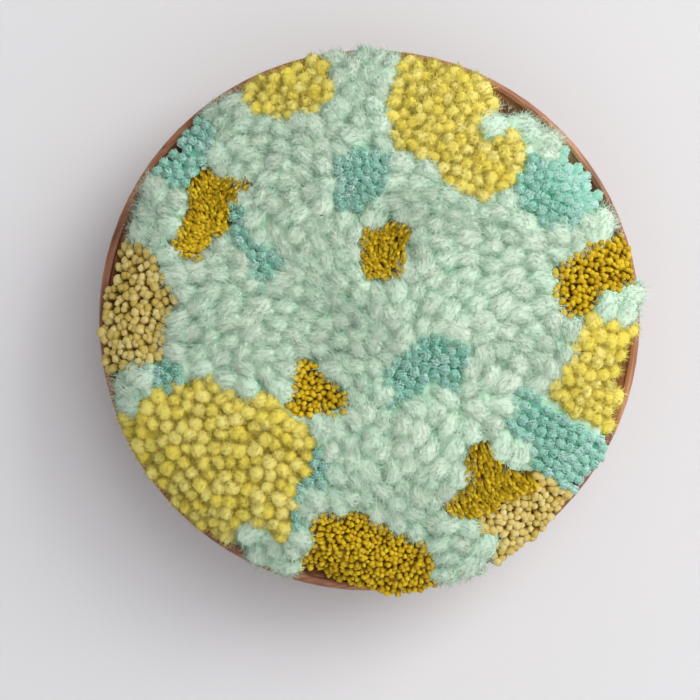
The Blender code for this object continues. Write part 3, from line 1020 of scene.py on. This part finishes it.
@dataclass(frozen=True)
class YarnFinish:
    """Finish of a yarn: its colours, which hold a painted shade colour for the roots and creases and a
    lighter colour painted on the tops, its sheen, gloss and the scale of its fibres.
    """

    name: str
    # Painted shade: the colour low on each tuft and in the creases between tufts, where shade falls.
    painted_shade: Colour
    middle: Colour
    # Lighter colour painted on the tops where streak or tone run light: painted highlight with real tone
    # variation; it also tints the sheen.
    light: Colour
    roughness: float
    sheen: float
    specular: float
    along: float
    across: float
    bump: float
    # Depths between which the painted shade colour gives way to the middle colour.
    painted_shade_depth: float
    top_depth: float
    tone_share: float = 0.5
    sheen_roughness: float = 0.5
    bump_distance: float = 0.0002
    gloss_range: float = 0.08

    def material(self, groups: ShaderGroups) -> bpy.types.Material:
        """Build the material.

        Args:
            groups: The shared effects.

        Returns:
            The yarn's material.
        """
        material, wiring = new_material(self.name)
        streaks = wiring.add(
            "Group",
            {"Lay": wiring.attribute("lay", "Vector"), "Along": self.along, "Across": self.across},
            group=groups.streaks,
        ).outputs
        tint = wiring.add(
            "Group",
            {
                "Painted Shade": (*self.painted_shade, 1),
                "Middle": (*self.middle, 1),
                "Light": (*self.light, 1),
                "Depth": wiring.attribute("depth", "Fac"),
                "Tone": wiring.attribute("tone", "Fac"),
                "Streak": streaks["Streak"],
                "Tone Share": self.tone_share,
                "Shade Depth": self.painted_shade_depth,
                "Top Depth": self.top_depth,
            },
            group=groups.tint,
        )
        bump = wiring.add(
            "Bump", {"Strength": self.bump, "Distance": self.bump_distance, "Height": streaks["Streak"]}
        )
        dullest, glossiest = min(1.0, self.roughness + self.gloss_range), self.roughness - self.gloss_range
        gloss = wiring.add("MapRange", {"Value": streaks["Fleck"], "To Min": dullest, "To Max": glossiest})
        wiring.fill(
            "Principled BSDF",
            {
                "Base Color": tint.outputs["Color"],
                "Roughness": gloss.outputs["Result"],
                "Normal": bump.outputs["Normal"],
                "Specular IOR Level": self.specular,
                "Sheen Weight": self.sheen,
                "Sheen Roughness": self.sheen_roughness,
                "Sheen Tint": (*self.light, 1),
            },
        )
        return material


# Each finish gives a painted shade colour for roots and creases, a middle colour, and a lighter colour
# painted on the tops (painted highlight with real tone variation).
MUSTARD = YarnFinish(
    "Mustard gold cotton", (0.21, 0.110, 0.001), (0.60, 0.38, 0.003), (0.82, 0.59, 0.020),
    roughness=0.6, sheen=0.12, specular=0.25, along=900, across=6000, bump=0.5, tone_share=0.6,
    painted_shade_depth=0.60, top_depth=0.97,
)

FINISHES = {
    Yarn.ROVING: YarnFinish(
        "Mint wool roving", (0.40, 0.84, 0.56), (0.69, 0.89, 0.70), (0.76, 0.87, 0.71),
        roughness=0.9, sheen=0.15, specular=0.1, along=260, across=2600, bump=0.45, tone_share=0.35,
        painted_shade_depth=0.60, top_depth=0.95,
    ),
    Yarn.CHUNKY: YarnFinish(
        "Soft yellow chunky wool", (0.76, 0.60, 0.050), (0.90, 0.75, 0.12), (0.95, 0.84, 0.27),
        roughness=0.85, sheen=0.25, specular=0.15, along=500, across=4200, bump=0.45,
        painted_shade_depth=0.50, top_depth=0.98,
    ),
    Yarn.FINE: MUSTARD,
    Yarn.ENDS: MUSTARD,
    Yarn.STRAW: YarnFinish(
        "Straw gold cotton", (0.24, 0.145, 0.012), (0.62, 0.45, 0.08), (0.83, 0.70, 0.30),
        roughness=0.6, sheen=0.15, specular=0.3, along=900, across=2600, bump=0.5, tone_share=0.35,
        painted_shade_depth=0.74, top_depth=0.99,
    ),
    Yarn.FLOSS: YarnFinish(
        "Aqua stranded floss", (0.27, 0.66, 0.50), (0.43, 0.82, 0.66), (0.60, 0.90, 0.80),
        roughness=0.5, sheen=0.15, specular=0.35, along=1200, across=9000, bump=0.3, tone_share=0.75,
        painted_shade_depth=0.55, top_depth=1.0,
    ),
}


@dataclass(frozen=True)
class WoodFinish:
    """Oiled reddish-brown hardwood: growth rings that follow the turning, fine pores and a satin surface."""

    dark: Colour = (0.16, 0.052, 0.025)
    middle: Colour = (0.36, 0.145, 0.070)
    light: Colour = (0.55, 0.260, 0.135)
    stops: tuple[float, float, float] = (0.28, 0.50, 0.74)
    roughness: float = 0.48
    gloss_range: tuple[float, float] = (-0.08, 0.12)
    grain: tuple[float, float] = (14.0, 900.0)
    pores: tuple[float, float] = (160.0, 5200.0)
    cloud_scale: float = 34.0
    cloud: float = 0.16
    slant: float = 0.35

    def material(self, groups: ShaderGroups) -> bpy.types.Material:
        """Build the material.

        Args:
            groups: The shared effects.

        Returns:
            The wood's material.
        """
        material, wiring = new_material("Oiled reddish-brown hardwood")
        place = wiring.add("TexCoord").outputs["Object"]
        lay = self._grain_space(wiring, place)
        streaks, pores = (
            wiring.add("Group", {"Lay": lay, "Along": along, "Across": across}, group=groups.streaks)
            .outputs["Streak"]
            for along, across in (self.grain, self.pores)
        )
        cloud_noise = wiring.add("TexNoise", {"Vector": place, "Scale": self.cloud_scale, "Detail": 4.0})
        clouds = wiring.add(
            "MapRange",
            {
                "Value": cloud_noise.outputs["Fac"],
                "From Min": 0.3,
                "From Max": 0.7,
                "To Min": -self.cloud,
                "To Max": self.cloud,
            },
        )
        blended = wiring.add("Math", {0: streaks, 1: clouds.outputs["Result"]}).outputs["Value"]
        ramp = wiring.add("ValToRGB", {"Fac": blended})
        low, middle, high = self.stops
        ramp.color_ramp.elements[0].position = low
        ramp.color_ramp.elements[0].color = (*self.dark, 1)
        ramp.color_ramp.elements[1].position = high
        ramp.color_ramp.elements[1].color = (*self.light, 1)
        ramp.color_ramp.elements.new(middle).color = (*self.middle, 1)
        mask = wiring.add("MapRange", {"Value": pores, "From Min": 0.58, "From Max": 0.70, "To Max": 0.55})
        tinted = wiring.add(
            "Mix",
            {"Factor": mask.outputs["Result"], "A": ramp.outputs["Color"], "B": (*self.dark, 1)},
            data_type="RGBA",
        )
        glossiest, dullest = (self.roughness + change for change in self.gloss_range)
        gloss = wiring.add("MapRange", {"Value": blended, "To Min": glossiest, "To Max": dullest})
        bump = wiring.add("Bump", {"Strength": 0.25, "Distance": 0.00012, "Height": pores})
        bump.invert = True
        wiring.fill(
            "Principled BSDF",
            {
                "Base Color": tinted.outputs["Result"],
                "Roughness": gloss.outputs["Result"],
                "Normal": bump.outputs["Normal"],
                "Specular IOR Level": 0.45,
            },
        )
        return material

    def _grain_space(self, wiring: Wiring, position: bpy.types.NodeSocket) -> bpy.types.NodeSocket:
        """Turn a position into one along the turning and two across it.

        Args:
            wiring: The material's wiring.
            position: The surface position.

        Returns:
            A vector socket whose X runs along the grain and whose Y and Z run across it.
        """
        parts = wiring.add("SeparateXYZ", {"Vector": position}).outputs
        flat = wiring.add("VectorMath", {0: position, 1: (1, 0, 1)}, operation="MULTIPLY")
        radius = wiring.add("VectorMath", {0: flat.outputs["Vector"]}, operation="LENGTH")
        side = wiring.add(
            "Math", {0: parts["X"], 1: self.slant, 2: radius.outputs["Value"]}, operation="MULTIPLY_ADD"
        )
        joined = wiring.add("CombineXYZ", {"X": parts["Z"], "Y": side.outputs["Value"], "Z": parts["Y"]})
        return joined.outputs["Vector"]


def fit_out(piece: bpy.types.Object, slot: str, *nodes: str) -> bpy.types.Object:
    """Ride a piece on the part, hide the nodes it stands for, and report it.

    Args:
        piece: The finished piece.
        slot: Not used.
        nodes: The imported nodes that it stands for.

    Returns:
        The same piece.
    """
    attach(piece, "root")
    if nodes:
        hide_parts(*nodes)
    log.info("%s: %d faces", piece.name, len(piece.data.polygons))
    return piece


@dataclass
class PileGround:
    """The dense base of the pile, which shows between the tufts, coloured with the yarns' painted shade."""

    drop: float = 0.0018
    roving_drop: float = 0.0006
    rim_drop: float = 0.0034
    drop_curve: float = 0.2
    tone: float = 0.5
    # A low depth gives the ground the yarns' painted shade colour; the roving's ground is less shaded.
    depth: float = 0.66
    roving_depth: float = 0.90

    def build(
        self,
        node: bpy.types.Object,
        surface: PileSurface,
        layout: FaceLayout,
        materials: dict[Yarn, bpy.types.Material],
    ) -> None:
        """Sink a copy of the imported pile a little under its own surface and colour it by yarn.

        Args:
            node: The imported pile.
            surface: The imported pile's surface.
            layout: Where each yarn lies.
            materials: The yarns' materials.
        """
        mesh = node.data.copy()
        mesh.name = "pile_ground"
        yarns = list(Yarn)
        mesh.materials.clear()
        for yarn in yarns:
            mesh.materials.append(materials[yarn])
        count = len(mesh.vertices)
        points = np.empty(count * 3)
        mesh.vertices.foreach_get("co", points)
        points = points.reshape(-1, 3)
        top = points[:, 1].min()
        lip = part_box("wood_frame")[0].y
        share = np.clip((lip - points[:, 1]) / (lip - top), 0, 1)
        roving = np.array([layout.yarn_at(x, y) is Yarn.ROVING for x, _, y in points])
        points[:, 1] += np.where(roving, self.roving_drop, self.drop) * share ** self.drop_curve
        radii = np.maximum(np.hypot(points[:, 0], points[:, 2]), 1e-6)
        angles = np.arctan2(points[:, 2], points[:, 0])
        limits = np.array([surface.reach(angle) for angle in angles]) - self.rim_drop
        points[:, [0, 2]] *= np.minimum(1, limits / radii)[:, None]
        mesh.vertices.foreach_set("co", points.reshape(-1))
        # Painted shade: the ground's fixed depths pick the dark end of each yarn's colour.
        depths = np.where(roving, self.roving_depth, self.depth)
        store_values(mesh, np.full(count, self.tone), depths, points)
        for face in mesh.polygons:
            face.material_index = yarns.index(layout.yarn_at(face.center.x, face.center.z))
            face.use_smooth = True
        mesh.update()
        piece = bpy.data.objects.new("pile_ground", mesh)
        bpy.context.scene.collection.objects.link(piece)
        fit_out(piece, "yarn", "pile")


@dataclass
class RimFringe:
    """Stray roving fibres that reach out of the pile's edge and droop over the frame's lip."""

    count: int = 1600
    inset: float = 0.0022
    length: float = 0.0028
    radius: float = 0.000045
    rise: float = 0.0012
    inset_range: tuple[float, float] = (0.3, 1.6)
    length_range: tuple[float, float] = (0.4, 1.2)
    droop_range: tuple[float, float] = (0.2, 0.9)
    droop_steps: tuple[float, ...] = (0.0, 0.5, 1.0)
    forward: float = 0.25
    stray: float = 0.9
    curl: float = 0.5
    seed: int = 60

    def build(self, surface: PileSurface, layout: FaceLayout, material: bpy.types.Material) -> None:
        """Build and dress the fibres.

        Args:
            surface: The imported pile's surface.
            layout: Where each yarn lies.
            material: The roving's finish.
        """
        dice = np.random.default_rng(self.seed)
        rows, outward = [], []
        for angle in dice.uniform(0, math.tau, self.count):
            radius = surface.reach(angle) - self.inset * dice.uniform(*self.inset_range)
            x, y = radius * math.cos(angle), radius * math.sin(angle)
            if layout.yarn_at(x, y) is not Yarn.ROVING:
                continue
            point, normal = surface.rest(x, y)
            point = point + normal * self.rise
            away = Vector((math.cos(angle), -self.forward, math.sin(angle)))
            away = (away + Vector(dice.uniform(-self.stray, self.stray, 3))).normalized()
            drop = Vector((0, dice.uniform(*self.droop_range), 0))
            stride = self.length * dice.uniform(*self.length_range) / len(self.droop_steps)
            path = [point]
            for step in self.droop_steps:
                bend = Vector(dice.uniform(-self.curl, self.curl, 3))
                path.append(path[-1] + (away + bend + drop * step).normalized() * stride)
            rows.append([tuple(place) for place in path])
            outward.append(tuple(normal))
        batch = MeshBatch()
        tones = dice.uniform(0, 1, len(rows))
        add_fibres(batch, np.array(rows), np.array(outward), self.radius, tones, np.ones(len(rows)), dice)
        fit_out(batch.build("roving_fringe", material), "yarn")


@dataclass
class TuftField:
    """Tufts of one yarn over its patches, at a pitch along and across their lie."""

    yarn: Yarn
    along: float
    across: float
    margin: float
    loose: float
    seed: int

    def half_pitch(self) -> float:
        """Half of the mean distance between neighbours."""
        return math.sqrt(self.along * self.across) / 2

    def build(self, scatter: Scatter, material: bpy.types.Material) -> None:
        """Build and dress the tufts.

        Args:
            scatter: Places the tufts.
            material: The yarn's finish.
        """
        raise NotImplementedError


@dataclass
class LoopField(TuftField):
    """A yarn's hooked loops with the fuzz on them."""

    loops: ArchLoops
    fuzz: tuple[Fuzz | Wisps, ...] = ()

    def build(self, scatter: Scatter, material: bpy.types.Material) -> None:
        """Build the loops, then each layer of fuzz as a piece of its own.

        Args:
            scatter: Places the loops.
            material: The yarn's finish.
        """
        batch = MeshBatch()
        shapes = self.loops.build(scatter.places(self), batch, self.seed)
        fit_out(batch.build(f"{self.yarn.value}_loops", material), "yarn")
        for number, layer in enumerate(self.fuzz, 1):
            fibres = MeshBatch()
            layer.build(shapes, fibres, self.seed + number)
            fit_out(fibres.build(f"{self.yarn.value}_fuzz_{number}", material), "yarn")


@dataclass
class CutField(TuftField):
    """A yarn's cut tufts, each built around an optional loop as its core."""

    strands: CutStrands
    core: ArchLoops | None = None

    def build(self, scatter: Scatter, material: bpy.types.Material) -> None:
        """Build the tufts.

        Args:
            scatter: Places the tufts.
            material: The yarn's finish.
        """
        batch = MeshBatch()
        places = scatter.places(self)
        if self.core:
            self.core.build(places, batch, self.seed)
        self.strands.build(places, batch, self.seed)
        fit_out(batch.build(f"{self.yarn.value}_tufts", material), "yarn")


def yarn_fields() -> tuple[TuftField, ...]:
    """Size up the tufts of every yarn."""
    return (
        LoopField(
            Yarn.CHUNKY, along=0.0033, across=0.0029, margin=0.0014, loose=2.2, seed=42,
            loops=ArchLoops(
                width=0.0036, thickness=0.0033, span=0.0018, height=0.0043, lift=0.0013,
                size_spread=0.20, lumps=0.05, tilt=0.42, softness=0.45, steps=10, sides=12,
            ),
            fuzz=(Fuzz(per_loop=165, length=0.0021, radius=0.00011, lift=1.1, comb=0.8, stray=0.9),),
        ),
        LoopField(
            Yarn.FINE, along=0.0015, across=0.0013, margin=0.0005, loose=2.0, seed=43,
            loops=ArchLoops(
                width=0.0015, thickness=0.0012, span=0.0013, height=0.0034, lift=0.0009, size_spread=0.18,
                lumps=0.10, tilt=0.50, softness=0.12, steps=6, sides=6,
            ),
        ),
        LoopField(
            Yarn.STRAW, along=0.0018, across=0.0015, margin=0.0006, loose=1.8, seed=44,
            loops=ArchLoops(
                width=0.0018, thickness=0.0014, span=0.0015, height=0.0036, lift=0.0009, size_spread=0.18,
                lumps=0.10, tilt=0.50, softness=0.10, plies=2, ply_relief=0.30, twist=2.0, steps=7, sides=8,
            ),
        ),
        CutField(
            Yarn.ENDS, along=0.0015, across=0.0013, margin=0.0006, loose=0.5, seed=47,
            strands=CutStrands(
                strands=4, radius=0.00036, height=0.0064, lift=0.0026, spread=0.08,
                root_radius=0.00040, lean=1.2, curl=0.05, sides=5,
            ),
        ),
        CutField(
            Yarn.FLOSS, along=0.0026, across=0.0026, margin=0.0010, loose=3.0, seed=45,
            strands=CutStrands(
                strands=30, radius=0.00022, height=0.0046, lift=0.0018, spread=0.26, doming=0.20,
                curl=0.03, unevenness=0.04, root_radius=0.0006, sides=3,
            ),
            core=ArchLoops(
                width=0.0027, thickness=0.0025, span=0.0006, height=0.0040, lift=0.0008,
                lumps=0.10, softness=0.3, steps=6, sides=8,
            ),
        ),
        LoopField(
            Yarn.ROVING, along=0.0060, across=0.0038, margin=0.0022, loose=0.35, seed=41,
            loops=ArchLoops(
                width=0.0055, thickness=0.0040, span=0.0062, height=0.0052, lift=0.0014,
                lean=0.60, crown=0.6, tilt=0.12, lumps=0.06, softness=0.60, steps=10, sides=12,
            ),
            fuzz=(
                Wisps(per_loop=14, radius=0.00022, offset=0.00010),
                Fuzz(per_loop=145, length=0.0026, radius=0.00011, lift=0.9, comb=0.6),
                Fuzz(per_loop=145, length=0.0034, radius=0.00010, lift=0.6, comb=0.9),
            ),
        ),
    )


@dataclass
class Pile:
    """The hooked and tufted pile, yarn by yarn."""

    node: bpy.types.Object
    groups: ShaderGroups

    def build(self) -> None:
        """Build every yarn's tufts and the ground under them."""
        surface = PileSurface(self.node)
        layout = FaceLayout()
        scatter = Scatter(layout, surface)
        built = {finish: finish.material(self.groups) for finish in dict.fromkeys(FINISHES.values())}
        materials = {yarn: built[finish] for yarn, finish in FINISHES.items()}
        PileGround().build(self.node, surface, layout, materials)
        for tufts in yarn_fields():
            tufts.build(scatter, materials[tufts.yarn])
        RimFringe().build(surface, layout, materials[Yarn.ROVING])


@dataclass(frozen=True)
class Lamp:
    """A square soft light that faces the piece: its place, length of side, power in watts and colour."""

    name: str
    place: tuple[float, float, float]
    size: float
    power: float
    colour: Colour

    def hang(self) -> None:
        """Add the light to the scene."""
        lamp = bpy.data.lights.new(self.name, "AREA")
        lamp.shape = "SQUARE"
        lamp.size = self.size
        lamp.energy = self.power
        lamp.color = self.colour
        holder = bpy.data.objects.new(self.name, lamp)
        holder.location = self.place
        holder.rotation_euler = (-Vector(self.place)).to_track_quat("-Z", "Y").to_euler()
        bpy.context.scene.collection.objects.link(holder)


@dataclass
class Studio:
    """A plain pale wall and floor, soft light from the upper right, and the camera facing the piece."""

    lamps: tuple[Lamp, ...] = (
        Lamp("key", (1.15, -0.95, 0.75), 1.0, 15.0, (1.0, 0.99, 0.97)),
        Lamp("front", (0.75, -2.0, 0.70), 1.5, 17.0, (1.0, 0.995, 1.0)),
    )
    surroundings: Colour = (0.95, 0.97, 1.0)
    surroundings_strength: float = 0.32
    paint: Colour = (0.78, 0.775, 0.785)
    paint_roughness: float = 0.8
    wall_gap: float = 0.0004
    wall_size: float = 3.0
    floor_drop: float = 0.45
    lens: float = 100.0
    sensor: float = 36.0
    clip_start: float = 0.01
    picture_pixels: float = 700.0
    rim_pixels: float = 542.0
    centre_right_pixels: float = 19.4
    centre_up_pixels: float = 29.8

    def build(self) -> None:
        """Set up the stage, the lights and the camera."""
        bpy.context.scene.view_settings.view_transform = "Standard"
        self._stage()
        self._world()
        for lamp in self.lamps:
            lamp.hang()
        self._camera()

    def _stage(self) -> None:
        """Lay the wall just behind the foot and the floor well below, both clear from behind."""
        paint, wiring = new_material("Plain pale wall")
        wiring.fill("Principled BSDF", {"Base Color": (*self.paint, 1), "Roughness": self.paint_roughness})
        sides = wiring.add(
            "MixShader",
            {
                "Fac": wiring.add("NewGeometry").outputs["Backfacing"],
                1: wiring.tree.nodes["Principled BSDF"].outputs["BSDF"],
                2: wiring.add("BsdfTransparent").outputs["BSDF"],
            },
        )
        wiring.fill("Material Output", {"Surface": sides.outputs["Shader"]})
        half, back, low = self.wall_size / 2, self.wall_gap, -self.floor_drop
        wall = [(-half, back, -half), (half, back, -half), (half, back, half), (-half, back, half)]
        front = -self.wall_size
        floor = [(-half, front, low), (half, front, low), (half, back, low), (-half, back, low)]
        for name, corners in (("backdrop_wall", wall), ("backdrop_floor", floor)):
            mesh = bpy.data.meshes.new(name)
            mesh.from_pydata(corners, [], [(0, 1, 2, 3)])
            mesh.materials.append(paint)
            sheet = bpy.data.objects.new(name, mesh)
            bpy.context.scene.collection.objects.link(sheet)

    def _world(self) -> None:
        """Fill the surroundings with an even pale light."""
        world = bpy.data.worlds.new("Soft surroundings")
        world.use_nodes = True
        inputs = world.node_tree.nodes["Background"].inputs
        inputs["Color"].default_value = (*self.surroundings, 1)
        inputs["Strength"].default_value = self.surroundings_strength
        bpy.context.scene.world = world

    def _camera(self) -> None:
        """Face the piece squarely, with the rim as large and as far off centre as in the picture."""
        low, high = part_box("wood_frame")
        scale = (high.x - low.x) / self.rim_pixels
        distance = scale * self.picture_pixels * self.lens / self.sensor
        camera = bpy.data.cameras.new("camera")
        camera.lens = self.lens
        camera.sensor_width = self.sensor
        camera.clip_start = self.clip_start
        holder = bpy.data.objects.new("camera", camera)
        right, up = self.centre_right_pixels * scale, self.centre_up_pixels * scale
        holder.location = (-right, low.y - distance, -up)
        holder.rotation_euler = (math.pi / 2, 0, 0)
        bpy.context.scene.collection.objects.link(holder)
        bpy.context.scene.camera = holder



def main() -> None:
    """Build the frame's finish, the pile and the studio."""
    logging.basicConfig(level=logging.INFO, format="%(name)s: %(message)s")
    groups = ShaderGroups()
    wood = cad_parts["wood_frame"]
    wood.data.materials.clear()
    wood.data.materials.append(WoodFinish().material(groups))
    Pile(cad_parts["pile"], groups).build()
    Studio().build()


if __name__ == "__main__":
    main()
